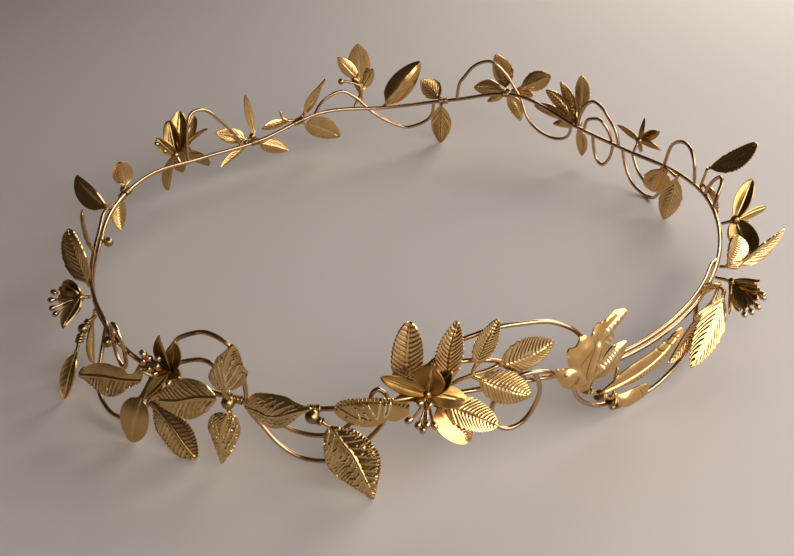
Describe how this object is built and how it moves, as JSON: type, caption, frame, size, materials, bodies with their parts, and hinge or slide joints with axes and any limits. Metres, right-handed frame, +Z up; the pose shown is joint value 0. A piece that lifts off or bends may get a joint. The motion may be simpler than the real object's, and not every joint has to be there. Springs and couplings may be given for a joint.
{
  "type": "leaf circlet",
  "caption": "Open wire circlet worn level around the head, dressed all round with stamped leaves, small flowers and looped scroll wires.",
  "frame": {"origin": "under the middle of the head ring, on the surface that the circlet stands on", "axes": "+Z up out of the head opening, -Y to the front as worn, +X to the viewer's right of the front"},
  "size_m": [0.2026, 0.1981, 0.041],
  "materials": {
    "brass_wire": "satin antique gold, bright on the rounds",
    "antique_brass_leaf": "stamped, dark in the recesses and rubbed bright on the veins",
    "pale_brass_petal": "smooth satin, yellower than the leaves",
    "dark_brass_binding": "wound wire and small beads, dark between the turns"
  },
  "bodies": {
    "root": {"head_ring": "brass_wire", "arches_front_left": "brass_wire", "sweep_front": "brass_wire", "sweep_front_inner": "brass_wire", "eyelet_front": "brass_wire", "arch_front": "brass_wire", "branch_front": "brass_wire", "curl_front": "brass_wire", "sweep_front_right": "brass_wire", "eyelet_left": "brass_wire", "sweep_left": "brass_wire", "twin_wire_left": "brass_wire", "arch_right": "brass_wire", "arch_right_back": "brass_wire", "drop_loops_back_right": "brass_wire", "hoop_back_right": "brass_wire", "arch_back_right": "brass_wire", "scroll_back_right": "brass_wire", "scroll_back_left": "brass_wire", "arch_back_left": "brass_wire", "binding_left": "dark_brass_binding", "binding_left_front": "dark_brass_binding", "leaf_tall_front": "antique_brass_leaf", "spray_front": "antique_brass_leaf", "lily_front": "pale_brass_petal", "leaves_low_front": "antique_brass_leaf", "leaf_long_front": "antique_brass_leaf", "leaf_drop_front": "antique_brass_leaf", "leaf_veined_front": "antique_brass_leaf", "leaf_pair_front_left": "antique_brass_leaf", "leaf_wide_front_left": "antique_brass_leaf", "leaf_low_front_left": "antique_brass_leaf", "leaf_oval_front_left": "antique_brass_leaf", "leaf_left_front": "antique_brass_leaf", "lily_left": "pale_brass_petal", "bud_left": "antique_brass_leaf", "flower_left": "pale_brass_petal", "leaf_upright_left": "antique_brass_leaf", "leaf_narrow_left": "antique_brass_leaf", "leaf_broad_left": "antique_brass_leaf", "leaves_left_back": "antique_brass_leaf", "flower_left_back": "pale_brass_petal", "sprig_back_left": "antique_brass_leaf", "leaf_oval_back_left": "antique_brass_leaf", "leaf_lobed_back": "antique_brass_leaf", "leaf_curled_back": "antique_brass_leaf", "leaf_pair_back": "antique_brass_leaf", "spray_back": "antique_brass_leaf", "spray_back_right": "antique_brass_leaf", "flower_back_right": "pale_brass_petal", "leaves_hanging_right": "antique_brass_leaf", "leaf_right_back": "antique_brass_leaf", "flower_right_back": "pale_brass_petal", "twin_wire_right": "brass_wire", "leaves_right": "antique_brass_leaf", "flower_right": "pale_brass_petal", "spray_right": "antique_brass_leaf", "spray_front_right": "antique_brass_leaf", "ivy_leaf_front_right": "antique_brass_leaf"}
  },
  "joints": []
}
